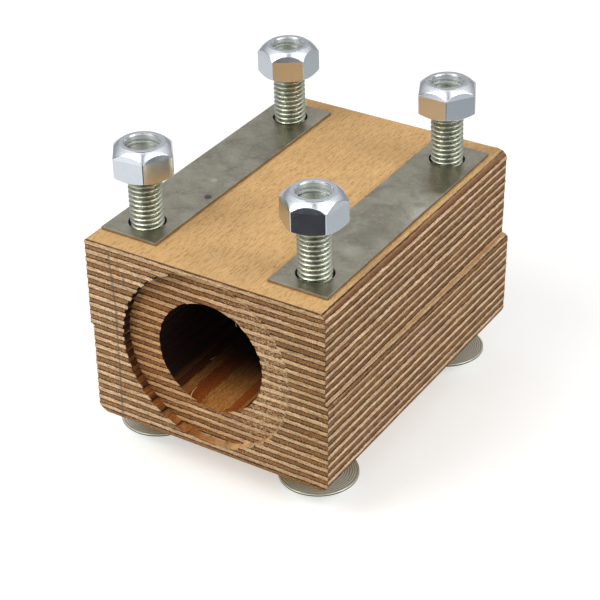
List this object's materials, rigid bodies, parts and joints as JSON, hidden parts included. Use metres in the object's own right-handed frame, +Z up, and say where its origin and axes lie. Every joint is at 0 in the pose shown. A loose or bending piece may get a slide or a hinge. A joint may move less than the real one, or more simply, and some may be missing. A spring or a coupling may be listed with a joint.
{
  "type": "straw walker bearing",
  "caption": "Split plain bearing block of laminated beech with a shaft bore and a round front recess, bolted up through thin steel strips by square-neck bolts with conical lock nuts.",
  "frame": {"origin": "on the bore axis, in the split plane between the halves, at the middle of the block's length", "axes": "+X to the right across the front face, +Y along the bore from the front to the back, +Z up"},
  "size_m": [0.0822, 0.11, 0.0982],
  "materials": {
    "laminated_beech": "sawn and bored plies, oiled, matt",
    "strip_steel": "dull grey mill finish with faint stains",
    "bolt_zinc": "zinc plated, slightly yellow-green",
    "nut_zinc": "bright zinc plated, smooth"
  },
  "bodies": {
    "base": {"lower_half": "laminated_beech", "front_left_bolt": "bolt_zinc", "front_right_bolt": "bolt_zinc", "back_left_bolt": "bolt_zinc", "back_right_bolt": "bolt_zinc"},
    "cap": {"upper_half": "laminated_beech", "left_strip": "strip_steel", "right_strip": "strip_steel"},
    "front_left_lock_nut": {"front_left_nut": "nut_zinc"},
    "front_right_lock_nut": {"front_right_nut": "nut_zinc"},
    "back_left_lock_nut": {"back_left_nut": "nut_zinc"},
    "back_right_lock_nut": {"back_right_nut": "nut_zinc"}
  },
  "joints": [
    {"name": "cap_lift", "type": "slide", "parent": "base", "child": "cap", "axis": [-0.0218, 0, 0.9998], "range_m": [0, 0.015]},
    {"name": "front_left_nut_travel", "type": "slide", "parent": "base", "child": "front_left_lock_nut", "axis": [-0.0105, 0, 0.9999], "range_m": [-0.0153, 0.004]},
    {"name": "front_right_nut_travel", "type": "slide", "parent": "base", "child": "front_right_lock_nut", "axis": [-0.0157, 0, 0.9999], "range_m": [-0.0154, 0.004]},
    {"name": "back_left_nut_travel", "type": "slide", "parent": "base", "child": "back_left_lock_nut", "axis": [-0.0227, 0, 0.9997], "range_m": [-0.015, 0.004]},
    {"name": "back_right_nut_travel", "type": "slide", "parent": "base", "child": "back_right_lock_nut", "axis": [-0.0384, 0, 0.9993], "range_m": [-0.0155, 0.004]}
  ]
}
